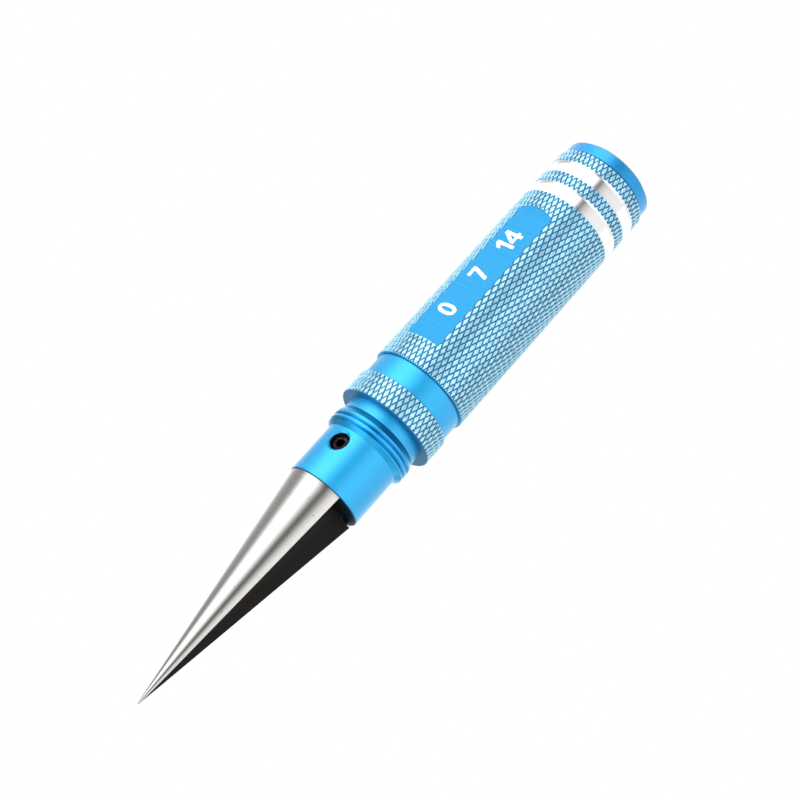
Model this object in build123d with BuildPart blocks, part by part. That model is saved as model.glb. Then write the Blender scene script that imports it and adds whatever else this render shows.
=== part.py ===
from build123d import *
import os
from math import asin, cos, pi, radians, sin, tan

# Hand reamer for sheet metal. It stands on the rear face of its handle: Z runs from that
# face, along the tool's axis, to the point of the blade. -Y is the side with the marking
# flat and the grub screw. All sizes are in millimetres.

# Radii of the turned handle
band_radius = 8.7
knurl_crest_radius = 9.15
knurl_depth = 0.35
relief_radius = 7.35
thread_crest_radius = 7.85
thread_depth = 0.35
collar_radius = 7.0

# Lengths of the turned handle, from the rear face to the blade
end_band_length = 2.8
edge_knurl_length = 2.5
edge_groove_length = 2.65
grip_length = 40.4
neck_band_length = 4.45
ring_length = 4.6
relief_length = 2.0
thread_run_out = 1.15
thread_length = 2.1
collar_cone_length = 0.75
collar_length = 10.0

# Small turned edges
rear_chamfer = 0.3
grip_chamfer = 0.4
collar_chamfer = 0.15

# Diamond knurl: grooves around the handle in each hand, and their slant to the axis
knurl_starts = 46
knurl_angle = 20.0

# Cap thread behind the collar: flat crests and V-shaped grooves
thread_pitch = 1.0
thread_crest_length = 0.3

# Marking flat milled into the grip
flat_depth = 0.73
flat_rear_margin = 3.6
flat_front_margin = 4.9
flat_run_out = 0.8

# Blade: shank, seating flange and ground cone
shank_radius = 4.0
shank_length = 13.0
shank_chamfer = 0.5
shank_flat_depth = 0.9
shank_flat_length = 6.0
flange_radius = 7.1
flange_length = 0.6
cone_radius = 6.75
cone_length = 44.6
point_radius = 0.13

# Flute: a notch of nearly a right angle, both faces close to the axis. Its root is round at
# the flange and sharp just short of the point.
cutting_edge_angle = 131.5
flute_angle = 84.0
web_offset = 0.16
flute_root_radius = 3.2
sharp_root_from_point = 4.1

# Blind bore for the shank
shank_clearance = 0.02
bore_end_gap = 1.0
drill_point_angle = 118.0

# Grub screw: M3, hexagon socket
screw_radius = 1.5
screw_length = 3.0
screw_hole_clearance = 0.03
screw_from_collar_front = 7.5
screw_rim_radius = 1.85
socket_across_flats = 1.5
socket_depth = 1.6
screw_point_chamfer = 0.4
screw_rim_chamfer = 0.15

# Heights along the axis
edge_knurl_rear_z = end_band_length
edge_groove_rear_z = edge_knurl_rear_z + edge_knurl_length
edge_knurl_front_z = edge_groove_rear_z + edge_groove_length
edge_groove_front_z = edge_knurl_front_z + edge_knurl_length
grip_z = edge_groove_front_z + edge_groove_length
neck_band_z = grip_z + grip_length
ring_z = neck_band_z + neck_band_length
relief_z = ring_z + ring_length
run_out_z = relief_z + relief_length
thread_z = run_out_z + thread_run_out
collar_cone_z = thread_z + thread_length
collar_z = collar_cone_z + collar_cone_length
handle_front_z = collar_z + collar_length
cone_z = handle_front_z + flange_length
point_z = cone_z + cone_length
screw_z = handle_front_z - screw_from_collar_front
shank_end_z = handle_front_z - shank_length
bore_radius = shank_radius + shank_clearance
bore_end_z = shank_end_z - bore_end_gap
seat_radius = shank_radius - shank_flat_depth
screw_hole_radius = screw_radius + screw_hole_clearance


def knurled_bar(low_z, high_z):
    """Round bar whose skin is a diamond knurl: one four-sided pyramid to each diamond.

    The skin is a grid of points, half a groove pitch apart. Crests and groove crossings
    take turns along it, both around the bar and from row to row.
    """
    half_diamond = pi * knurl_crest_radius / knurl_starts / tan(radians(knurl_angle))
    rows = max(1, round((high_z - low_z) / half_diamond))
    points_around = 2 * knurl_starts

    def grid_point(row, place):
        is_crest = (row + place) % 2 == 0
        radius = knurl_crest_radius if is_crest else knurl_crest_radius - knurl_depth
        turn = 2 * pi * (place % points_around) / points_around
        height = low_z + (high_z - low_z) * row / rows
        return (radius * cos(turn), radius * sin(turn), height)

    def ring(row):
        return [grid_point(row, place) for place in range(points_around)]

    faces = [Face(Wire.make_polygon(ring(0))), Face(Wire.make_polygon(ring(rows)))]
    for row in range(rows):
        for place in range(points_around):
            corners = [
                grid_point(row, place),
                grid_point(row, place + 1),
                grid_point(row + 1, place + 1),
                grid_point(row + 1, place),
            ]
            starts_on_crest = (row + place) % 2 == 0
            if starts_on_crest:
                corners = corners[1:] + corners[:1]
            first, second, third, fourth = corners
            faces.append(Face(Wire.make_polygon([first, second, third])))
            faces.append(Face(Wire.make_polygon([first, third, fourth])))
    return Solid(Shell(faces))


knurled_lengths = [
    (edge_knurl_rear_z, edge_groove_rear_z),
    (edge_knurl_front_z, edge_groove_front_z),
    (grip_z, neck_band_z),
    (ring_z, relief_z),
]
knurled_bars = [knurled_bar(low_z, high_z) for low_z, high_z in knurled_lengths]


def thread_outline():
    """Half profile of the cap thread: its long run-out, then crests with grooves between."""
    grooves = max(1, round(thread_length / thread_pitch))
    spacing = thread_length / grooves
    points = [(relief_radius, run_out_z)]
    for groove in range(grooves):
        rear = thread_z + groove * spacing
        points.append((thread_crest_radius, rear))
        points.append((thread_crest_radius, rear + thread_crest_length))
        points.append((thread_crest_radius - thread_depth, rear + (thread_crest_length + spacing) / 2))
    points.append((thread_crest_radius, collar_cone_z))
    return points


# Handle: turned and knurled aluminium bar with a milled flat, a blind bore and a tapped hole
with BuildPart() as handle:
    with BuildSketch(Plane.XZ):
        with BuildLine():
            Polyline(
                (0, 0),
                (band_radius - rear_chamfer, 0),
                (band_radius, rear_chamfer),
                (band_radius, ring_z + ring_length / 2),
                (relief_radius, ring_z + ring_length / 2),
                *thread_outline(),
                (collar_radius, collar_z),
                (collar_radius, handle_front_z - collar_chamfer),
                (collar_radius - collar_chamfer, handle_front_z),
                (0, handle_front_z),
                close=True,
            )
        make_face()
    revolve(axis=Axis.Z)

    drill_point_length = bore_radius / tan(radians(drill_point_angle / 2))
    with BuildSketch(Plane.XZ):
        with BuildLine():
            Polyline(
                (0, bore_end_z - drill_point_length),
                (bore_radius, bore_end_z),
                (bore_radius, handle_front_z),
                (0, handle_front_z),
                close=True,
            )
        make_face()
    revolve(axis=Axis.Z, mode=Mode.SUBTRACT)

    with Locations(Plane(origin=(0, -collar_radius, screw_z), z_dir=(0, -1, 0))):
        CounterSinkHole(
            radius=screw_hole_radius,
            counter_sink_radius=screw_rim_radius,
            depth=collar_radius,
            counter_sink_angle=90,
        )

    for bar in knurled_bars:
        add(bar, clean=False)

    with BuildSketch(Plane.XZ):
        with BuildLine():
            Polyline(
                (knurl_crest_radius, neck_band_z - grip_chamfer),
                (knurl_crest_radius + grip_chamfer, neck_band_z - grip_chamfer),
                (knurl_crest_radius + grip_chamfer, neck_band_z),
                (knurl_crest_radius - grip_chamfer, neck_band_z),
                close=True,
            )
        make_face()
    revolve(axis=Axis.Z, mode=Mode.SUBTRACT, clean=False)

    flat_y = -(knurl_crest_radius - flat_depth)
    flat_rear_z = grip_z + flat_rear_margin
    flat_front_z = neck_band_z - flat_front_margin
    above_knurl_y = flat_y - 2 * flat_depth
    flat_floor_z = flat_rear_z + flat_run_out
    with BuildSketch(Plane.YZ):
        with BuildLine():
            Polyline(
                (flat_y, flat_floor_z),
                (flat_y, flat_front_z),
                (above_knurl_y, flat_front_z),
                (above_knurl_y, flat_floor_z - 2 * flat_run_out),
                close=True,
            )
        make_face()
    extrude(amount=knurl_crest_radius, both=True, mode=Mode.SUBTRACT, clean=False)


# Flute: its walls stay at the same distance from the axis. The root is what a cone that
# touches both walls leaves standing in their corner.
half_flute = radians(flute_angle / 2)
toward_cutting_edge = Vector(1, 0, 0).rotate(Axis.Z, cutting_edge_angle)
middle_direction = Vector(1, 0, 0).rotate(Axis.Z, cutting_edge_angle + flute_angle / 2)
sharp_root_z = point_z - sharp_root_from_point
root_length = sharp_root_z - handle_front_z
root_taper = flute_root_radius / root_length


def flute_plane(height):
    """Level plane with its origin in the flute's corner and X along the cutting face."""
    corner = middle_direction * (web_offset / sin(half_flute)) + Vector(0, 0, height)
    return Plane(origin=corner, x_dir=toward_cutting_edge, z_dir=(0, 0, 1))


centre_line = middle_direction * (root_taper / sin(half_flute)) - Vector(0, 0, 1)
cone_half_angle = asin(root_taper / centre_line.length)
touch_length = flute_root_radius / tan(half_flute)
with BuildPart() as flute_root:
    with BuildSketch(flute_plane(handle_front_z)) as kite:
        with BuildLine():
            face_touch = PolarLine((0, 0), touch_length, 0)
            wall_touch = PolarLine((0, 0), touch_length, flute_angle)
            Polyline(face_touch @ 1, (touch_length, flute_root_radius), wall_touch @ 1)
        make_face()
    loft(sections=[kite.sketch, Vertex(*flute_plane(sharp_root_z).origin)], ruled=True)
    with Locations(Plane(origin=flute_plane(sharp_root_z).origin, z_dir=centre_line)):
        Cone(
            bottom_radius=0,
            top_radius=1.2 * root_length * tan(cone_half_angle),
            height=1.2 * root_length,
            align=(Align.CENTER, Align.CENTER, Align.MIN),
            mode=Mode.SUBTRACT,
        )

flute_reach = 2 * flange_radius
with BuildPart() as flute:
    with BuildSketch(flute_plane(handle_front_z)):
        with BuildLine():
            face_end = PolarLine((0, 0), flute_reach, 0)
            wall_end = PolarLine((0, 0), flute_reach, flute_angle)
            Polyline(face_end @ 1, (face_end @ 1) + (wall_end @ 1), wall_end @ 1)
        make_face()
    extrude(amount=flange_length + cone_length)
    add(flute_root.part, mode=Mode.SUBTRACT)

# Blade: ground steel cone with one flute, its flange seated on the collar
with BuildPart() as blade:
    with BuildSketch(Plane.XZ):
        with BuildLine():
            Polyline(
                (0, shank_end_z),
                (shank_radius - shank_chamfer, shank_end_z),
                (shank_radius, shank_end_z + shank_chamfer),
                (shank_radius, handle_front_z),
                (flange_radius, handle_front_z),
                (flange_radius, cone_z),
                (cone_radius, cone_z),
                (point_radius, point_z),
                (0, point_z),
                close=True,
            )
        make_face()
    revolve(axis=Axis.Z)

    add(flute.part, mode=Mode.SUBTRACT)

    with BuildSketch(Plane(origin=(0, -seat_radius, screw_z), z_dir=(0, -1, 0))):
        Rectangle(2 * shank_radius, shank_flat_length)
    extrude(amount=shank_flat_depth, mode=Mode.SUBTRACT)

# Grub screw: blackened steel, tightened on the flat of the shank
with BuildPart() as grub_screw:
    with BuildSketch(Plane(origin=(0, -seat_radius, screw_z), z_dir=(0, -1, 0))):
        Circle(screw_radius)
    extrude(amount=screw_length)
    ends = grub_screw.faces().filter_by(Axis.Y).sort_by(Axis.Y)
    chamfer(ends[-1].edges(), screw_point_chamfer)
    chamfer(ends[0].edges(), screw_rim_chamfer)
    with BuildSketch(Plane(origin=(0, -seat_radius - screw_length, screw_z), z_dir=(0, -1, 0))):
        RegularPolygon(socket_across_flats / 2, 6, major_radius=False)
    extrude(amount=-socket_depth, mode=Mode.SUBTRACT)

os.makedirs("parts", exist_ok=True)
for name, piece in (("handle", handle), ("blade", blade), ("grub_screw", grub_screw)):
    piece.part.label = name
    export_step(piece.part, f"parts/{name}.step")
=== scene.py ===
from math import asin, atan2, copysign, cos, hypot, pi, radians, sin, sqrt, tan

import bmesh
import bpy
from mathutils import Matrix, Vector


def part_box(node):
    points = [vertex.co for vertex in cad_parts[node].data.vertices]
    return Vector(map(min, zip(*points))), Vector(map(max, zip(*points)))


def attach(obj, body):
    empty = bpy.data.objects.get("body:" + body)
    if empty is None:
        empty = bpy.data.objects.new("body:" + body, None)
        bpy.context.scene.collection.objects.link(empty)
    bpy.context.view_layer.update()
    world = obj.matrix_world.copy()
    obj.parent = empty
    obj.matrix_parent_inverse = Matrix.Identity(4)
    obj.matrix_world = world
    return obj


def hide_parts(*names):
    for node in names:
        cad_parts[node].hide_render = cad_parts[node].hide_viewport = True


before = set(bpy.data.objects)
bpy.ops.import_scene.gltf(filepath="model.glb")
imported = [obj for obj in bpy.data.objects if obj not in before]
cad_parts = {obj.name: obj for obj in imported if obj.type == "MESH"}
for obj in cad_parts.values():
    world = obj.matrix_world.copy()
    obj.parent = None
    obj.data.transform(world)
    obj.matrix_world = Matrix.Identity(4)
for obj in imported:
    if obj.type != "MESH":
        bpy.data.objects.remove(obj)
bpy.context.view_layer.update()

# The view of the photograph
# A camera close to the tool, on the side of the marking flat. It looks a little down on the
# tool and is rolled so that the blade points to the lower left. The focal length and both
# ends of the tool in the picture are in pixels.
MM = 0.001
picture_px = 800
focal_px = 2000.0
sensor_mm = 36.0
view_down = radians(18.955)
view_turn = radians(-38.5)
view_distance = 336.56 * MM
aim_height = 56.99 * MM
aim_aside = 1.235 * MM
tip_px = (140.07, 701.07)
rear_px = (613.52, 173.42)

axis_run = Vector((rear_px[0] - tip_px[0], rear_px[1] - tip_px[1])).normalized()
to_camera = Vector((sin(view_turn), -cos(view_turn), 0))
aside = Vector((to_camera.y, -to_camera.x, 0))
down_axis = Vector((0, 0, -1))
forward = sin(view_down) * down_axis - cos(view_down) * to_camera
along_picture = cos(view_down) * down_axis + sin(view_down) * to_camera
picture_right = axis_run.x * along_picture - axis_run.y * aside
picture_up = -axis_run.y * along_picture - axis_run.x * aside

camera = bpy.data.objects.new("camera", bpy.data.cameras.new("camera"))
bpy.context.collection.objects.link(camera)
camera.data.sensor_width = sensor_mm
camera.data.lens = focal_px / picture_px * sensor_mm
camera.data.clip_start = 0.01
stand = Vector((0, 0, aim_height)) - forward * view_distance - aside * aim_aside
turn = Matrix((picture_right, picture_up, -forward)).transposed()
camera.matrix_world = Matrix.Translation(stand) @ turn.to_4x4()
bpy.context.scene.camera = camera
bpy.context.scene.view_settings.view_transform = "Standard"

# The studio
# A white floor under the tool's rear face, a white surround, and broad soft panels of light
# on both sides of the view with a dark gap between them. They are dim in a narrow band
# above the level and again towards straight down.


def new_material(name):
    """Empty node material; gives back the material, its nodes and a linking function."""
    material = bpy.data.materials.new(name)
    material.use_nodes = True
    material.node_tree.nodes.clear()
    return material, material.node_tree.nodes, material.node_tree.links.new


def add_node(nodes, kind, **settings):
    node = nodes.new(kind)
    for key, value in settings.items():
        setattr(node, key, value)
    return node


def fill_ramp(ramp, stops):
    """Set the stops of a colour ramp: pairs of place and grey level or colour."""
    elements = ramp.color_ramp.elements
    while len(elements) > 1:
        elements.remove(elements[-1])
    for index, (place, level) in enumerate(stops):
        element = elements[0] if index == 0 else elements.new(place)
        element.position = place
        colour = (level, level, level) if isinstance(level, (int, float)) else level
        element.color = (*colour, 1.0)


# Brightness of the panels by the turn away from the view, in degrees, and by the rise of the
# look, from -1 straight down to 1 straight up. What the rear end reflects lies lower and has
# its own panels, which take over from low_from down to low_to. All of them lean by
# panel_slant, in radians of turn for a rise of 1.
panel_stops = [
    (-180, 1.0), (-156, 0.85), (-140, 0.52), (-119, 0.39), (-104, 0.38), (-92, 0.6), (-80, 1.5),
    (-66, 2.0), (-44, 2.0), (-34, 1.5), (-24, 0.75), (-15, 0.22), (-8, 0.2), (0, 0.45), (11, 1.0),
    (24, 1.37), (44, 1.27), (62, 0.97), (84, 0.8), (108, 0.76), (130, 0.86), (152, 1.0), (180, 1.0),
]
low_panel_stops = [
    (-180, 0.8), (-100, 0.88), (-66, 1.45), (-44, 1.5), (-32, 1.05), (-24, 0.5), (-18, 0.07),
    (-12, 0.07), (-8, 0.28), (6, 0.42), (30, 0.43), (60, 0.51), (75, 0.73), (110, 0.73), (180, 0.9),
]
low_from, low_to = -0.40, -0.435
height_stops = [
    (-1.0, 0.3), (-0.75, 0.45), (-0.6, 1.6), (-0.45, 1.8), (-0.4, 1.1), (-0.35, 0.96), (-0.28, 1.35),
    (0.17, 1.0), (0.28, 0.3), (0.36, 0.35), (0.43, 1.5), (0.5, 1.5), (0.56, 1.0), (1.0, 1.0),
]
panel_slant = 0.35
brightest_panel = 2.0
brightest_height = 1.8


def stops_round(stops):
    """Turns in degrees as places on a ramp, and levels as shares of the brightest panel."""
    return [((turned + 180) / 360, level / brightest_panel) for turned, level in stops]


world = bpy.data.worlds.new("studio")
bpy.context.scene.world = world
world.use_nodes = True
nodes = world.node_tree.nodes
link = world.node_tree.links.new
nodes.clear()
direction = add_node(nodes, "ShaderNodeTexCoord")
towards_view = add_node(nodes, "ShaderNodeVectorMath", operation="DOT_PRODUCT")
towards_side = add_node(nodes, "ShaderNodeVectorMath", operation="DOT_PRODUCT")
towards_view.inputs[1].default_value = to_camera
towards_side.inputs[1].default_value = aside
round_angle = add_node(nodes, "ShaderNodeMath", operation="ARCTAN2")
slant = add_node(nodes, "ShaderNodeMath", operation="MULTIPLY_ADD")
slant.inputs[1].default_value = panel_slant
round_share = add_node(nodes, "ShaderNodeMapRange")
round_share.inputs["From Min"].default_value = -pi
round_share.inputs["From Max"].default_value = pi
panels = add_node(nodes, "ShaderNodeValToRGB")
fill_ramp(panels, stops_round(panel_stops))
low_panels = add_node(nodes, "ShaderNodeValToRGB")
fill_ramp(low_panels, stops_round(low_panel_stops))
low_share = add_node(nodes, "ShaderNodeMapRange")
low_share.inputs["From Min"].default_value = low_from
low_share.inputs["From Max"].default_value = low_to
either = add_node(nodes, "ShaderNodeMix", data_type="RGBA")
split = add_node(nodes, "ShaderNodeSeparateXYZ")
height_share = add_node(nodes, "ShaderNodeMapRange")
height_share.inputs["From Min"].default_value = -1.0
heights = add_node(nodes, "ShaderNodeValToRGB")
fill_ramp(heights, [((rise + 1) / 2, level / brightest_height) for rise, level in height_stops])
panels_by_height = add_node(nodes, "ShaderNodeVectorMath", operation="MULTIPLY")
link(direction.outputs["Generated"], towards_view.inputs[0])
link(direction.outputs["Generated"], towards_side.inputs[0])
link(direction.outputs["Generated"], split.inputs[0])
link(towards_side.outputs["Value"], round_angle.inputs[0])
link(towards_view.outputs["Value"], round_angle.inputs[1])
link(split.outputs["Z"], slant.inputs[0])
link(round_angle.outputs[0], slant.inputs[2])
link(slant.outputs[0], round_share.inputs["Value"])
link(round_share.outputs["Result"], panels.inputs["Fac"])
link(split.outputs["Z"], height_share.inputs["Value"])
link(height_share.outputs["Result"], heights.inputs["Fac"])
link(round_share.outputs["Result"], low_panels.inputs["Fac"])
link(split.outputs["Z"], low_share.inputs["Value"])
link(low_share.outputs["Result"], either.inputs["Factor"])
link(panels.outputs["Color"], either.inputs["A"])
link(low_panels.outputs["Color"], either.inputs["B"])
link(either.outputs["Result"], panels_by_height.inputs[0])
link(heights.outputs["Color"], panels_by_height.inputs[1])
ray = add_node(nodes, "ShaderNodeLightPath")
white_surround = add_node(nodes, "ShaderNodeBackground")
white_surround.inputs["Color"].default_value = (1, 1, 1, 1)
soft_fill = add_node(nodes, "ShaderNodeBackground")
soft_fill.inputs["Strength"].default_value = 0.75
panel_light = add_node(nodes, "ShaderNodeBackground")
panel_light.inputs["Strength"].default_value = brightest_panel * brightest_height
fill_or_panels = add_node(nodes, "ShaderNodeMixShader")
seen_or_lit = add_node(nodes, "ShaderNodeMixShader")
surface = add_node(nodes, "ShaderNodeOutputWorld")
link(panels_by_height.outputs[0], panel_light.inputs["Color"])
link(ray.outputs["Is Glossy Ray"], fill_or_panels.inputs[0])
link(soft_fill.outputs[0], fill_or_panels.inputs[1])
link(panel_light.outputs[0], fill_or_panels.inputs[2])
link(ray.outputs["Is Camera Ray"], seen_or_lit.inputs[0])
link(fill_or_panels.outputs[0], seen_or_lit.inputs[1])
link(white_surround.outputs[0], seen_or_lit.inputs[2])
link(seen_or_lit.outputs[0], surface.inputs["Surface"])

floor_half = 6.0
floor_mesh = bpy.data.meshes.new("floor")
floor_corners = [(x * floor_half, y * floor_half, 0) for x, y in ((-1, -1), (1, -1), (1, 1), (-1, 1))]
floor_mesh.from_pydata(floor_corners, [], [(0, 1, 2, 3)])
floor = bpy.data.objects.new("floor", floor_mesh)
bpy.context.collection.objects.link(floor)
floor.visible_glossy = False
floor_paint, nodes, link = new_material("white floor")
ray = add_node(nodes, "ShaderNodeLightPath")
paint = add_node(nodes, "ShaderNodeBsdfDiffuse")
paint.inputs["Color"].default_value = (0.9, 0.9, 0.9, 1)
glow = add_node(nodes, "ShaderNodeEmission")
mix = add_node(nodes, "ShaderNodeMixShader")
surface = add_node(nodes, "ShaderNodeOutputMaterial")
link(ray.outputs["Is Camera Ray"], mix.inputs[0])
link(paint.outputs[0], mix.inputs[1])
link(glow.outputs[0], mix.inputs[2])
link(mix.outputs[0], surface.inputs["Surface"])
floor_mesh.materials.append(floor_paint)


def softbox(name, around_deg, height, distance, size, power):
    """Square area lamp that looks at the middle of the tool."""
    lamp = bpy.data.lights.new(name, "AREA")
    lamp.shape = "SQUARE"
    lamp.size = size
    lamp.energy = power
    holder = bpy.data.objects.new(name, lamp)
    bpy.context.collection.objects.link(holder)
    around = view_turn - radians(around_deg)
    place = Vector((sin(around) * distance, -cos(around) * distance, height))
    aim = Vector((0, 0, aim_height)) - place
    facing = aim.to_track_quat("-Z", "Y").to_matrix().to_4x4()
    holder.matrix_world = Matrix.Translation(place) @ facing
    holder.visible_glossy = False


softbox("left panel", around_deg=-55, height=0.35, distance=0.55, size=0.35, power=4.6)
softbox("right panel", around_deg=45, height=0.35, distance=0.6, size=0.35, power=1.2)

# Handle
# One bar of aluminium, turned and knurled, with a flat milled for the marking, and anodised
# light blue. After that the two grooves at the rear and the bore were cut, and are bare.
band_r = 8.7 * MM
knurl_r = 9.15 * MM
relief_r = 7.35 * MM
thread_crest_r = 7.85 * MM
collar_r = 7.0 * MM
end_band = 2.8 * MM
edge_knurl = 2.5 * MM
edge_groove = 2.65 * MM
grip = 40.4 * MM
neck_band = 4.45 * MM
ring = 4.6 * MM
relief = 2.0 * MM
thread_run_out = 1.15 * MM
thread = 2.1 * MM
collar_cone = 0.75 * MM
rear_bevel = 0.3 * MM
fine_bevel = 0.12 * MM
grip_bevel = 0.12 * MM
collar_bevel = 0.15 * MM
bore_r = 4.02 * MM
bore_depth = 14.0 * MM
collar_front_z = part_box("handle")[1][2]

# Heights along the axis, from the rear face to the blade
knurl_2_z = end_band
groove_2_z = knurl_2_z + edge_knurl
knurl_1_z = groove_2_z + edge_groove
groove_1_z = knurl_1_z + edge_knurl
grip_z = groove_1_z + edge_groove
neck_z = grip_z + grip
ring_z = neck_z + neck_band
relief_z = ring_z + ring
run_out_z = relief_z + relief
thread_z = run_out_z + thread_run_out
cone_z = thread_z + thread
collar_z = cone_z + collar_cone

# The knurl has 60 grooves in each hand, 20 degrees off the axis, and flat diamonds between.
# Lines beside each groove, in groove pitches from its middle, mark its shoulders and floor.
knurl_starts = 60
knurl_slant = radians(20.0)
groove_depth = 0.14 * MM
groove_lines = (-0.19, -0.03, 0.03, 0.19)
floor_lines = (1, 2)
diamond_length = 2 * pi * knurl_r / knurl_starts / tan(knurl_slant)


def show(nodes, link, shader):
    """Make the shader the material's surface."""
    out = add_node(nodes, "ShaderNodeOutputMaterial")
    link(shader.outputs[0], out.inputs["Surface"])


def turning_marks(nodes, link, lines_per_mm, depth):
    """Fine lines round the axis, of changing strength along it, as bump and as grey level."""
    place = add_node(nodes, "ShaderNodeTexCoord")
    split = add_node(nodes, "ShaderNodeSeparateXYZ")
    scaled = add_node(nodes, "ShaderNodeMath", operation="MULTIPLY")
    scaled.inputs[1].default_value = lines_per_mm / MM
    lines = add_node(nodes, "ShaderNodeTexNoise", noise_dimensions="1D")
    lines.inputs["Scale"].default_value = 1.0
    lines.inputs["Detail"].default_value = 3.0
    bump = add_node(nodes, "ShaderNodeBump")
    bump.inputs["Distance"].default_value = depth
    link(place.outputs["Object"], split.inputs[0])
    link(split.outputs["Z"], scaled.inputs[0])
    link(scaled.outputs[0], lines.inputs["W"])
    link(lines.outputs["Fac"], bump.inputs["Height"])
    return bump, lines


def ring_grain(nodes, link, shader, strength):
    """Spread the highlight along the axis, as fine lines round a bar do."""
    shader.inputs["Anisotropic"].default_value = strength
    shader.inputs["Anisotropic Rotation"].default_value = 0.25
    tangent = add_node(nodes, "ShaderNodeTangent", direction_type="RADIAL", axis="Z")
    link(tangent.outputs[0], shader.inputs["Tangent"])


def anodised(name, darker, lighter, rough, coat, metal=0.78, lines_per_mm=9.0):
    """Dyed oxide over aluminium: coloured metal under a thin clear film, with turning marks."""
    material, nodes, link = new_material(name)
    shader = add_node(nodes, "ShaderNodeBsdfPrincipled")
    shader.inputs["Metallic"].default_value = metal
    shader.inputs["Roughness"].default_value = rough
    shader.inputs["Coat Weight"].default_value = coat
    shader.inputs["Coat Roughness"].default_value = 0.3
    bump, lines = turning_marks(nodes, link, lines_per_mm, depth=0.004 * MM)
    tint = add_node(nodes, "ShaderNodeValToRGB")
    fill_ramp(tint, [(0.3, darker), (0.7, lighter)])
    link(bump.outputs[0], shader.inputs["Normal"])
    link(lines.outputs["Fac"], tint.inputs["Fac"])
    link(tint.outputs["Color"], shader.inputs["Base Color"])
    show(nodes, link, shader)
    return material


def bare_aluminium():
    """The grooves at the rear, turned bright after the dyeing."""
    material, nodes, link = new_material("bare aluminium")
    shader = add_node(nodes, "ShaderNodeBsdfPrincipled")
    shader.inputs["Metallic"].default_value = 0.9
    shader.inputs["Roughness"].default_value = 0.12
    ring_grain(nodes, link, shader, strength=0.4)
    bump, lines = turning_marks(nodes, link, lines_per_mm=12.0, depth=0.002 * MM)
    tint = add_node(nodes, "ShaderNodeValToRGB")
    fill_ramp(tint, [(0.3, (0.88, 0.88, 0.89)), (0.7, (0.96, 0.96, 0.96))])
    link(bump.outputs[0], shader.inputs["Normal"])
    link(lines.outputs["Fac"], tint.inputs["Fac"])
    link(tint.outputs["Color"], shader.inputs["Base Color"])
    show(nodes, link, shader)
    return material


def knurled_blue():
    """Paler on the diamonds, partly rubbed unevenly by the rolls and by hands and partly a painted
    sheen, and darker in the grooves as painted shade.
    """
    material, nodes, link = new_material("knurled anodised")
    shader = add_node(nodes, "ShaderNodeBsdfPrincipled")
    shader.inputs["Metallic"].default_value = 0.68
    shader.inputs["Roughness"].default_value = 0.32
    shader.inputs["Coat Weight"].default_value = 0.6
    shader.inputs["Coat Roughness"].default_value = 0.3
    place = add_node(nodes, "ShaderNodeTexCoord")
    across = add_node(nodes, "ShaderNodeVectorMath", operation="MULTIPLY")
    across.inputs[1].default_value = (1, 1, 0)
    length = add_node(nodes, "ShaderNodeVectorMath", operation="LENGTH")
    share = add_node(nodes, "ShaderNodeMapRange")
    share.inputs["From Min"].default_value = knurl_r - groove_depth
    share.inputs["From Max"].default_value = knurl_r
    handled = add_node(nodes, "ShaderNodeTexNoise")
    handled.inputs["Scale"].default_value = 1.1 / MM
    handled.inputs["Detail"].default_value = 4.0
    wear = add_node(nodes, "ShaderNodeMapRange")
    wear.inputs["From Min"].default_value = 0.34
    wear.inputs["From Max"].default_value = 0.66
    wear.inputs["To Min"].default_value = 0.82
    wear.inputs["To Max"].default_value = 1.12
    wear_and_painted_sheen = add_node(nodes, "ShaderNodeMath", operation="MULTIPLY")
    # From groove to diamond: painted shade in the grooves, then the diamonds paler as rubbed metal and
    # painted sheen.
    tint = add_node(nodes, "ShaderNodeValToRGB")
    fill_ramp(tint, [(0.0, (0.03, 0.19, 0.37)), (0.6, (0.08, 0.33, 0.56)), (0.97, (0.46, 0.79, 0.92))])
    link(place.outputs["Object"], across.inputs[0])
    link(across.outputs[0], length.inputs[0])
    link(length.outputs["Value"], share.inputs["Value"])
    link(place.outputs["Object"], handled.inputs["Vector"])
    link(handled.outputs["Fac"], wear.inputs["Value"])
    link(share.outputs["Result"], wear_and_painted_sheen.inputs[0])
    link(wear.outputs["Result"], wear_and_painted_sheen.inputs[1])
    link(wear_and_painted_sheen.outputs[0], tint.inputs["Fac"])
    link(tint.outputs["Color"], shader.inputs["Base Color"])
    show(nodes, link, shader)
    return material


BLUE, SHADED_SLOPE, PAINTED_SHADE, PAINTED_DEEP_SHADE, SHADED_END_BAND, BARE, KNURL, FLAT = range(8)
handle_finishes = [
    anodised("turned anodised", (0.006, 0.41, 0.82), (0.009, 0.46, 0.88),
             rough=0.42, coat=0.8, metal=0.72),
    # Painted shade: a slightly darker copy of the anodising for the cones, the grip's front bevel and
    # the thread's groove.
    anodised("anodised on slopes, painted shade", (0.014, 0.39, 0.75), (0.020, 0.44, 0.83),
             rough=0.33, coat=0.3, metal=1.0),
    # Painted shade: a darker copy of the anodising for the undercuts, the bevel at the collar's front
    # and the ring's front face.
    anodised("anodised, painted shade", (0.011, 0.15, 0.30), (0.014, 0.18, 0.36),
             rough=0.45, coat=0.2),
    # Painted deep shade: nearly black anodising for the collar's front face under the blade and for
    # the wall of the screw hole.
    anodised("anodised, painted deep shade", (0.006, 0.02, 0.035), (0.010, 0.04, 0.07),
             rough=0.5, coat=0.1),
    # Painted shade: the end band's copy of the anodising is darker than the rest.
    anodised("anodised end band, painted shade", (0.007, 0.32, 0.70), (0.010, 0.36, 0.79),
             rough=0.4, coat=0.6, metal=0.8),
    bare_aluminium(),
    knurled_blue(),
    anodised("milled flat", (0.020, 0.305, 0.62), (0.023, 0.335, 0.67),
             rough=0.5, coat=0.2, lines_per_mm=2.0),
]
around_segments = 240


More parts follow.
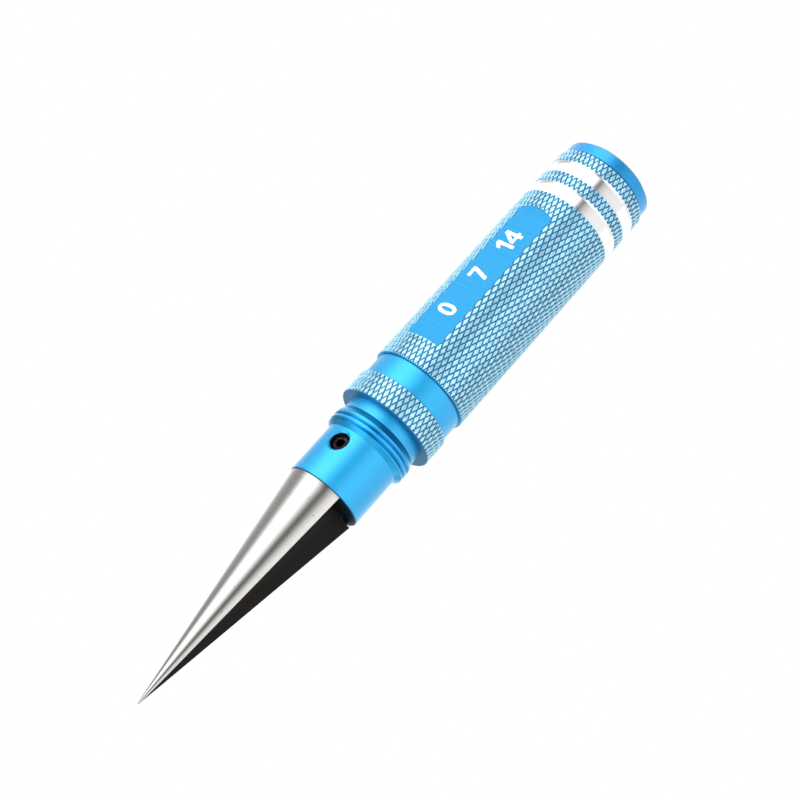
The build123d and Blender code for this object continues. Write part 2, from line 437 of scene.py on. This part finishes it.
def solid(name, points, faces, finishes, materials):
    """Closed solid with its faces turned outwards; finishes is a number or one for each face."""
    mesh = bpy.data.meshes.new(name)
    mesh.from_pydata(points, [], faces)
    for material in materials:
        mesh.materials.append(material)
    if isinstance(finishes, int):
        finishes = [finishes] * len(faces)
    mesh.polygons.foreach_set("material_index", finishes)
    shape = bmesh.new()
    shape.from_mesh(mesh)
    bmesh.ops.recalc_face_normals(shape, faces=shape.faces)
    shape.to_mesh(mesh)
    shape.free()
    piece = bpy.data.objects.new(name, mesh)
    bpy.context.collection.objects.link(piece)
    return piece


def turned_solid(name, outline, materials, finish=0, segments=around_segments):
    """Solid turned about Z, through points of radius and height.

    A point may add the finish of the run from it to the next point."""
    points, faces, finishes, rings = [], [], [], []
    for radius, height, *_ in outline:
        ring_size = 1 if radius == 0 else segments
        rings.append([len(points) + step for step in range(ring_size)])
        for step in range(ring_size):
            angle = 2 * pi * step / segments
            points.append((radius * cos(angle), radius * sin(angle), height))
    for row in range(len(outline) - 1):
        low, high = rings[row], rings[row + 1]
        run_finish = outline[row][2] if len(outline[row]) > 2 else finish
        for step in range(segments):
            after = (step + 1) % segments
            corners = [low[step % len(low)], low[after % len(low)]]
            corners += [high[after % len(high)], high[step % len(high)]]
            faces.append(list(dict.fromkeys(corners)))
            finishes.append(run_finish)
    return solid(name, points, faces, finishes, materials)


def carve(piece, tool, operation):
    """Join, cut or keep the common part with a second solid, which is used up."""
    change = piece.modifiers.new("carve", "BOOLEAN")
    change.operation = operation
    change.solver = "MANIFOLD"
    change.object = tool
    bpy.context.view_layer.update()
    depsgraph = bpy.context.evaluated_depsgraph_get()
    carved = bpy.data.meshes.new_from_object(piece.evaluated_get(depsgraph))
    piece.modifiers.clear()
    piece.data = carved
    bpy.data.objects.remove(tool)


def finish_edges(piece, angle_deg=12):
    """Smooth shading, with every corner sharper than the angle kept crisp."""
    piece.data.polygons.foreach_set("use_smooth", [True] * len(piece.data.polygons))
    piece.data.set_sharp_from_angle(angle=radians(angle_deg))


def groove_line(index):
    """Place of a line in groove pitches, and its depth under the diamonds."""
    whole, part = divmod(index, len(groove_lines))
    depth = groove_depth if part in floor_lines else 0.0
    return whole + groove_lines[part], depth


def knurled_sleeve(low, high, front_bevel, rear_finish, front_finish):
    """Knurled length of bar. Its skin runs along the groove lines of both hands.

    It is made a diamond too long at each end, closed there by a jagged cone, and then cut to a
    plain turned blank whose bevels of 45 degrees run out of the diamonds."""
    lines_around = knurl_starts * len(groove_lines)
    rows_in_diamond = 2 * len(groove_lines)
    first_row = -rows_in_diamond
    last_row = int((high - low) / diamond_length * rows_in_diamond) + rows_in_diamond
    points, faces = [], []
    for row in range(first_row, last_row + 1):
        for line in range(lines_around):
            one_hand, one_depth = groove_line(line)
            other_hand, other_depth = groove_line(line - row)
            angle = pi * (one_hand + other_hand) / knurl_starts
            radius = knurl_r - max(one_depth, other_depth)
            height = low + (one_hand - other_hand) / 2 * diamond_length
            points.append((radius * cos(angle), radius * sin(angle), height))

    def corner(line, row):
        return (row - first_row) * lines_around + line % lines_around

    for row in range(first_row + 1, last_row):
        for line in range(lines_around):
            lower_side = (corner(line, row), corner(line, row - 1))
            faces.append((*lower_side, corner(line + 1, row), corner(line + 1, row + 1)))
    for end_row, past, centre_z in ((first_row + 1, -1, low), (last_row - 1, 1, high)):
        centre = len(points)
        points.append((0, 0, centre_z + past * diamond_length))
        for line in range(lines_around):
            tooth = corner(line + (past > 0), end_row + past)
            faces.append((centre, tooth, corner(line, end_row)))
            faces.append((centre, tooth, corner(line + 1, end_row)))
    sleeve = solid("sleeve", points, faces, KNURL, handle_finishes)
    over_r = knurl_r + fine_bevel
    blank = turned_solid("blank", [
        (0, low, rear_finish),
        (knurl_r - fine_bevel / 2, low, rear_finish),
        (over_r, low + 1.5 * fine_bevel, KNURL),
        (over_r, high - fine_bevel - front_bevel, front_finish),
        (knurl_r - front_bevel, high, front_finish),
        (0, high),
    ], handle_finishes)
    carve(sleeve, blank, "INTERSECT")
    return sleeve


undercut = 0.1 * MM
handle = turned_solid("turned_handle", [
    (0, 0, BLUE),
    (band_r - rear_bevel, 0, BARE),
    # The end band is painted darker as shade.
    (band_r, rear_bevel, SHADED_END_BAND),
    # The undercuts beside the knurls and the bevel at the collar's front are painted darker as shade.
    (band_r, end_band - 4 * undercut, PAINTED_SHADE),
    (band_r - undercut, end_band - 3 * undercut, PAINTED_SHADE),
    (band_r, end_band - 2 * undercut, SHADED_END_BAND),
    (band_r, groove_2_z - fine_bevel, BARE),
    (band_r, knurl_1_z + fine_bevel, BLUE),
    (band_r, groove_1_z - fine_bevel, BARE),
    (band_r, grip_z + fine_bevel, BLUE),
    (band_r, neck_z, PAINTED_SHADE),
    (band_r - undercut / 2, neck_z + undercut / 2, PAINTED_SHADE),
    (band_r, neck_z + undercut),
    (band_r, ring_z - 2 * undercut, PAINTED_SHADE),
    (band_r - undercut, ring_z - undercut, PAINTED_SHADE),
    (band_r, ring_z),
    (band_r, ring_z + ring / 2),
    (relief_r, ring_z + ring / 2),
    # The run-out cone and the front cone are painted slightly darker as shade.
    (relief_r, run_out_z, SHADED_SLOPE),
    (thread_crest_r, thread_z),
    (thread_crest_r, cone_z, SHADED_SLOPE),
    (collar_r, collar_z),
    (collar_r, collar_front_z - collar_bevel, PAINTED_SHADE),
    # The collar's front face, under the blade's flange, is painted nearly black as shade.
    (collar_r - collar_bevel, collar_front_z, PAINTED_DEEP_SHADE),
    (0, collar_front_z),
], handle_finishes)
for low, high, bevel, rear_finish, front_finish in (
    (knurl_2_z, groove_2_z, fine_bevel / 2, BLUE, BARE),
    (knurl_1_z, groove_1_z, fine_bevel / 2, BARE, BARE),
    # The grip's front bevel is painted slightly darker as shade.
    (grip_z, neck_z, grip_bevel, BARE, SHADED_SLOPE),
    # The ring's front face is painted darker as shade.
    (ring_z, relief_z, fine_bevel, BLUE, PAINTED_SHADE),
):
    carve(handle, knurled_sleeve(low, high, bevel, rear_finish, front_finish), "UNION")

# Thread for the cap: one V-shaped groove wound round the crest. It fades in at the rear and
# runs out through the cone in front. Its turns are counted from the side of the view.
thread_pitch = 1.05 * MM
thread_depth = 0.35 * MM
groove_half = 0.42 * MM
over_crest = 0.1 * MM
thread_turns = 2.1
first_turn = -0.35
thread_at_view_z = thread_z + 0.65 * MM
view_angle = atan2(to_camera.y, to_camera.x)
thread_steps = int(thread_turns * around_segments)
fade_steps = around_segments // 6
outer_r = thread_crest_r + over_crest
points, faces = [], []
for step in range(thread_steps + 1):
    turns = step / around_segments + first_turn
    angle = view_angle + 2 * pi * turns
    middle = thread_at_view_z + thread_pitch * turns
    depth = thread_depth * min(1.0, (step + 1) / fade_steps)
    half = groove_half * (depth + over_crest) / (thread_depth + over_crest)
    profile = [(outer_r, middle - half), (thread_crest_r - depth, middle), (outer_r, middle + half)]
    points += [(radius * cos(angle), radius * sin(angle), height) for radius, height in profile]
for step in range(thread_steps):
    start = 3 * step
    for side, after in ((0, 1), (1, 2), (2, 0)):
        faces.append((start + side, start + 3 + side, start + 3 + after, start + after))
faces.append((0, 1, 2))
faces.append((3 * thread_steps, 3 * thread_steps + 1, 3 * thread_steps + 2))
# The groove's flanks are painted slightly darker as shade.
carve(handle, solid("cap_thread", points, faces, SHADED_SLOPE, handle_finishes), "DIFFERENCE")

# Bore for the blade's shank. Each cutter reaches a little past the metal.
past_metal = 1.0 * MM
bore = turned_solid("bore", [
    (0, collar_front_z - bore_depth),
    (bore_r, collar_front_z - bore_depth),
    (bore_r, collar_front_z + past_metal),
    (0, collar_front_z + past_metal),
], handle_finishes, finish=BARE)
carve(handle, bore, "DIFFERENCE")

# Flat for the marking, milled across with a sloping run-out at its rear end
flat_depth = 0.73 * MM
flat_y = -(knurl_r - flat_depth)
flat_rear_z = grip_z + 3.6 * MM
flat_front_z = neck_z - 4.9 * MM
flat_run_out = 0.8 * MM
cutter_half = 8.0 * MM
side_outline = [
    (flat_y, flat_rear_z + flat_run_out),
    (flat_y, flat_front_z),
    (flat_y - 2 * flat_depth, flat_front_z),
    (flat_y - 2 * flat_depth, flat_rear_z - flat_run_out),
]
points = [(x, y, z) for x in (-cutter_half, cutter_half) for y, z in side_outline]
faces = []
for here in range(4):
    after = (here + 1) % 4
    faces.append((here, after, after + 4, here + 4))
faces += [(0, 1, 2, 3), (4, 5, 6, 7)]
carve(handle, solid("flat_cutter", points, faces, FLAT, handle_finishes), "DIFFERENCE")

# Hole for the grub screw, drilled across the collar into the bore, with a bevelled rim
screw_z = collar_front_z - 7.5 * MM
screw_hole_r = 1.72 * MM
screw_rim_r = 2.12 * MM
in_bore_y = -2.0 * MM
hole = turned_solid("screw_hole", [
    (0, -collar_r - past_metal),
    (screw_rim_r + past_metal, -collar_r - past_metal),
    # The hole's wall is painted nearly black as shade.
    (screw_hole_r, -collar_r + screw_rim_r - screw_hole_r, PAINTED_DEEP_SHADE),
    (screw_hole_r, in_bore_y),
    (0, in_bore_y),
], handle_finishes, segments=64)
cross_drilled = Matrix.Translation((0, 0, screw_z)) @ Matrix.Rotation(radians(-90), 4, "X")
hole.data.transform(cross_drilled)
carve(handle, hole, "DIFFERENCE")
finish_edges(handle)
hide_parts("handle")
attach(handle, "root")

# Marking
# Plain white numbers printed on the milled flat, in bold figures, like those of a scale. They
# read from the blade's side towards the rear. The shapes within a figure are in millimetres.
figure_height = 3.65 * MM
figure_step = 8.55 * MM
print_lift = 0.015 * MM
print_aside = 0.4 * MM
marking_start_z = 42.6 * MM
oval_points = 64
squareness = 0.85
nought_middle = 1.05
points, faces = [], []


def patch(*corners):
    """Flat shape between corners, given in millimetres from the lower left of the figure."""
    faces.append(tuple(range(len(points), len(points) + len(corners))))
    points.extend((figure_x + x * MM, y * MM, 0) for x, y in corners)


def oval(half_width, half_height):
    """Points of a rounded outline about the middle of a nought."""
    outline = []
    for step in range(oval_points):
        turned = 2 * pi * step / oval_points
        across = copysign(abs(cos(turned)) ** squareness, cos(turned)) * half_width
        upwards = copysign(abs(sin(turned)) ** squareness, sin(turned)) * half_height
        outline.append((nought_middle + across, figure_height / MM / 2 + upwards))
    return outline


# Nought
figure_x = 0.0
outer, inner = oval(1.08, 1.82), oval(0.42, 1.18)
for place in range(len(outer)):
    patch(outer[place - 1], outer[place], inner[place], inner[place - 1])
# Seven: a bar along the top, and a stem that slants down from its right half
figure_x = figure_step
top = figure_height / MM
under_bar = top - 0.66
stem_left, seven_width = 1.42, 2.15
patch((0, top), (0, under_bar), (stem_left, under_bar), (seven_width, under_bar), (seven_width, top))
patch((stem_left, under_bar), (0.42, 0), (1.15, 0), (seven_width, under_bar))
# One, the first figure of fourteen: a slanting flag and a stem
figure_x = 2 * figure_step - 1.3 * MM
stem_left, stem_right = 0.82, 1.5
patch((stem_left, top), (0, top - 0.8), (0, top - 1.48), (stem_left, top - 1.0))
patch((stem_left, 0), (stem_right, 0), (stem_right, top), (stem_left, top))
# Four: a slope, a bar, a stem, and the end of the bar past the stem
figure_x += 1.8 * MM
stem_left, stem_right, four_width = 1.5, 2.16, 2.55
bar_foot, bar_top = 0.74, 1.36
patch((0, bar_top), (0.72, bar_top), (stem_left, top - 1.2), (stem_left, top))
patch((0, bar_foot), (stem_left, bar_foot), (stem_left, bar_top), (0, bar_top))
patch((stem_left, 0), (stem_right, 0), (stem_right, top), (stem_left, top))
patch((stem_right, bar_foot), (four_width, bar_foot), (four_width, bar_top), (stem_right, bar_top))

marking_mesh = bpy.data.meshes.new("marking")
marking_mesh.from_pydata(points, [], faces)
marking = bpy.data.objects.new("marking", marking_mesh)
bpy.context.collection.objects.link(marking)
reading = Matrix(((0, 1, 0), (0, 0, -1), (-1, 0, 0))).to_4x4()
onto_flat = Matrix.Translation((print_aside - figure_height / 2, flat_y - print_lift, marking_start_z))
marking_mesh.transform(onto_flat @ reading)

ink, nodes, link = new_material("white ink")
shader = add_node(nodes, "ShaderNodeBsdfPrincipled")
shader.inputs["Roughness"].default_value = 0.6
place = add_node(nodes, "ShaderNodeTexCoord")
grain = add_node(nodes, "ShaderNodeTexNoise")
grain.inputs["Scale"].default_value = 4.0 / MM
tint = add_node(nodes, "ShaderNodeValToRGB")
fill_ramp(tint, [(0.3, (0.80, 0.90, 0.94)), (0.7, (0.95, 0.97, 0.98))])
link(place.outputs["Object"], grain.inputs["Vector"])
link(grain.outputs["Fac"], tint.inputs["Fac"])
link(tint.outputs["Color"], shader.inputs["Base Color"])
show(nodes, link, shader)
marking_mesh.materials.append(ink)
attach(marking, "root")

# Blade
# Hardened steel: the cone is ground bright all round, the flute keeps the dark scale of
# hardening. A thin flange seats on the collar, and the shank below it is in the bore.
flange_r = 6.86 * MM
flange = 0.6 * MM
flange_bevel = 0.08 * MM
cone_base_r = 6.75 * MM
point_r = 0.13 * MM
shank_r = 4.0 * MM
shank = 13.0 * MM
web = 0.16 * MM
root_r = 3.2 * MM
smallest_root_r = 0.02 * MM
sharp_root = 4.1 * MM
cutting_edge_turn = radians(131.5)
flute_turn = radians(84.0)
point_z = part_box("blade")[1][2]
cone_base_z = collar_front_z + flange
cone_length = point_z - cone_base_z
cone_slope = (cone_base_r - point_r) / cone_length
corner_r = web / sin(flute_turn / 2)
flute_end_z = point_z - (corner_r - point_r) / cone_slope
sharp_root_z = point_z - sharp_root


def ground_steel():
    """Bright steel with rings of grinding marks and a few tiny pits."""
    material, nodes, link = new_material("ground steel")
    shader = add_node(nodes, "ShaderNodeBsdfPrincipled")
    shader.inputs["Metallic"].default_value = 1.0
    shader.inputs["Roughness"].default_value = 0.19
    ring_grain(nodes, link, shader, strength=0.8)
    bump, lines = turning_marks(nodes, link, lines_per_mm=7.0, depth=0.003 * MM)
    tint = add_node(nodes, "ShaderNodeValToRGB")
    fill_ramp(tint, [(0.25, (0.52, 0.51, 0.49)), (0.75, (0.66, 0.648, 0.63))])
    place = add_node(nodes, "ShaderNodeTexCoord")
    pits = add_node(nodes, "ShaderNodeTexVoronoi")
    pits.inputs["Scale"].default_value = 0.45 / MM
    clear = add_node(nodes, "ShaderNodeValToRGB")
    fill_ramp(clear, [(0.03, 0.25), (0.06, 1.0)])
    pitted = add_node(nodes, "ShaderNodeVectorMath", operation="MULTIPLY")
    link(bump.outputs[0], shader.inputs["Normal"])
    link(lines.outputs["Fac"], tint.inputs["Fac"])
    link(place.outputs["Object"], pits.inputs["Vector"])
    link(pits.outputs["Distance"], clear.inputs["Fac"])
    link(tint.outputs["Color"], pitted.inputs[0])
    link(clear.outputs["Color"], pitted.inputs[1])
    link(pitted.outputs[0], shader.inputs["Base Color"])
    show(nodes, link, shader)
    return material


def hardening_scale():
    """Nearly black, in blotches of brown and grey."""
    material, nodes, link = new_material("hardening scale")
    shader = add_node(nodes, "ShaderNodeBsdfPrincipled")
    shader.inputs["Metallic"].default_value = 0.3
    shader.inputs["Specular IOR Level"].default_value = 0.3
    place = add_node(nodes, "ShaderNodeTexCoord")
    blotches = add_node(nodes, "ShaderNodeTexNoise")
    blotches.inputs["Scale"].default_value = 0.9 / MM
    blotches.inputs["Detail"].default_value = 6.0
    tint = add_node(nodes, "ShaderNodeValToRGB")
    fill_ramp(tint, [(0.3, (0.0038, 0.0028, 0.0022)), (0.7, (0.0112, 0.0084, 0.0070))])
    gloss = add_node(nodes, "ShaderNodeMapRange")
    gloss.inputs["To Min"].default_value = 0.42
    gloss.inputs["To Max"].default_value = 0.62
    link(place.outputs["Object"], blotches.inputs["Vector"])
    link(blotches.outputs["Fac"], tint.inputs["Fac"])
    link(blotches.outputs["Fac"], gloss.inputs["Value"])
    link(tint.outputs["Color"], shader.inputs["Base Color"])
    link(gloss.outputs["Result"], shader.inputs["Roughness"])
    show(nodes, link, shader)
    return material


STEEL, SCALE = range(2)
blade_finishes = [ground_steel(), hardening_scale()]
land_steps = 200
wall_steps = 8
root_steps = 14


def blade_section(height, radius, cut_back=0.0):
    """Outline round the section: ground land, back wall of the flute, its root, cutting face.

    cut_back is the angle by which the land stops short of the cutting face."""
    root = max(smallest_root_r, root_r * (sharp_root_z - height) / (sharp_root_z - collar_front_z))
    edge = asin(web / radius) if radius > corner_r else flute_turn / 2
    land_turn = 2 * pi - flute_turn + 2 * edge
    outline = []
    for step in range(land_steps + 1):
        angle = edge - cut_back - (land_turn - cut_back) * step / land_steps
        outline.append((radius * cos(angle), radius * sin(angle)))
    half_tan = tan(flute_turn / 2)
    touch = (web + root) / half_tan
    reach = sqrt(radius ** 2 - web ** 2) if radius > web else touch
    cut_reach = radius * (1 - sin(cut_back)) if cut_back else reach
    notch = []
    for step in range(1, wall_steps + 1):
        run = reach + (touch - reach) * step / wall_steps
        x = run * cos(flute_turn) + web * sin(flute_turn)
        y = run * sin(flute_turn) - web * cos(flute_turn)
        notch.append((x, y))
    for step in range(1, root_steps):
        angle = flute_turn + pi / 2 + (pi - flute_turn) * step / root_steps
        notch.append((touch + root * cos(angle), web + root + root * sin(angle)))
    for step in range(wall_steps):
        notch.append((touch + (cut_reach - touch) * step / wall_steps, web))
    for x, y in notch:
        if radius <= corner_r or hypot(x, y) >= radius:
            angle = atan2(y, x)
            x, y = radius * cos(angle), radius * sin(angle)
        outline.append((x, y))
    cosine, sine = cos(cutting_edge_turn), sin(cutting_edge_turn)
    return [(x * cosine - y * sine, x * sine + y * cosine, height) for x, y in outline]


# Sections from the flange to the point: height, radius and, on the flange, how far the land
# stops short of the cutting face. The last part of the point is blunt and has no flute.
flange_cut = radians(20)
cut_end = 0.05 * MM
cut_end_r = cone_base_r + 0.01 * MM
cone_steps = 90
blunt = 0.3 * MM
point_bevel = 0.04 * MM
point_face_r = 0.6 * point_r
sections = [
    (collar_front_z, flange_r - flange_bevel, flange_cut),
    (collar_front_z + flange_bevel, flange_r, flange_cut),
    (cone_base_z - cut_end, cut_end_r, flange_cut),
    (cone_base_z, cone_base_r),
]
for step in range(1, cone_steps + 1):
    height = cone_base_z + (flute_end_z - cone_base_z) * step / cone_steps
    sections.append((height, cone_base_r - cone_slope * (height - cone_base_z)))
fluted_rows = len(sections) - 1
sections.append((point_z - blunt, point_r + cone_slope * blunt))
sections.append((point_z - point_bevel, point_r))
sections.append((point_z, point_face_r))
points, faces, finishes = [], [], []
for section in sections:
    points += blade_section(*section)
outline_size = len(points) // len(sections)
for row in range(len(sections) - 1):
    for place in range(outline_size):
        after = (place + 1) % outline_size
        low, high = row * outline_size, (row + 1) * outline_size
        faces.append((low + after, low + place, high + place, high + after))
        finishes.append(STEEL if place < land_steps or row >= fluted_rows else SCALE)
faces.append(tuple(range(outline_size)))
faces.append(tuple(range(len(points) - outline_size, len(points))))
finishes += [STEEL, STEEL]
blade = solid("ground_blade", points, faces, finishes, blade_finishes)

# Shank, which runs a hair into the flange so that the two join. The flat under the screw is
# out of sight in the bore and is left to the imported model.
shank_chamfer = 0.5 * MM
shank_overlap = 0.005 * MM
shank_rear_z = collar_front_z - shank
shank_top_z = collar_front_z + shank_overlap
shank_body = turned_solid("shank", [
    (0, shank_rear_z),
    (shank_r - shank_chamfer, shank_rear_z),
    (shank_r, shank_rear_z + shank_chamfer),
    (shank_r, shank_top_z),
    (0, shank_top_z),
], blade_finishes, finish=SCALE, segments=96)
carve(blade, shank_body, "UNION")
finish_edges(blade, angle_deg=16)
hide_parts("blade")
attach(blade, "root")

# Grub screw
# A small blackened steel screw with a hexagon socket. It is turned into the hole in the collar,
# down on the flat of the shank, and holds the blade.
screw_r = 1.5 * MM
seat_y = -3.1 * MM
screw_length = 3.0 * MM
seat_bevel = 0.4 * MM
rim_bevel = 0.15 * MM
socket_r = 0.75 * MM / cos(radians(30))
socket_depth = 1.6 * MM
socket_point = 0.3 * MM
socket_turn = radians(12)
screw_head_y = seat_y - screw_length

black, nodes, link = new_material("black oxide, painted shade")
shader = add_node(nodes, "ShaderNodeBsdfPrincipled")
shader.inputs["Metallic"].default_value = 1.0
shader.inputs["Roughness"].default_value = 0.25
place = add_node(nodes, "ShaderNodeTexCoord")
blotches = add_node(nodes, "ShaderNodeTexNoise")
blotches.inputs["Scale"].default_value = 2.5 / MM
tint = add_node(nodes, "ShaderNodeValToRGB")
# Black oxide, darkened beyond the oxide's own colour as painted shade down the hole; the lighter
# blotches are random tone.
fill_ramp(tint, [
    (0.3, (0.006, 0.004, 0.005)),
    (0.5, (0.012, 0.008, 0.010)),
    (0.62, (0.055, 0.038, 0.046)),
])
link(place.outputs["Object"], blotches.inputs["Vector"])
link(blotches.outputs["Fac"], tint.inputs["Fac"])
link(tint.outputs["Color"], shader.inputs["Base Color"])
show(nodes, link, shader)
screw = turned_solid("set_screw", [
    (0, seat_y),
    (screw_r - seat_bevel, seat_y),
    (screw_r, seat_y - seat_bevel),
    (screw_r, screw_head_y + rim_bevel),
    (screw_r - rim_bevel, screw_head_y),
    (0, screw_head_y),
], [black], segments=64)
socket = turned_solid("socket", [
    (0, screw_head_y - past_metal),
    (socket_r, screw_head_y - past_metal),
    (socket_r, screw_head_y + socket_depth),
    (0, screw_head_y + socket_depth + socket_point),
], [black], segments=6)
screw.data.transform(cross_drilled)
socket.data.transform(cross_drilled @ Matrix.Rotation(socket_turn, 4, "Z"))
carve(screw, socket, "DIFFERENCE")
finish_edges(screw)
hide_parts("grub_screw")
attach(screw, "root")
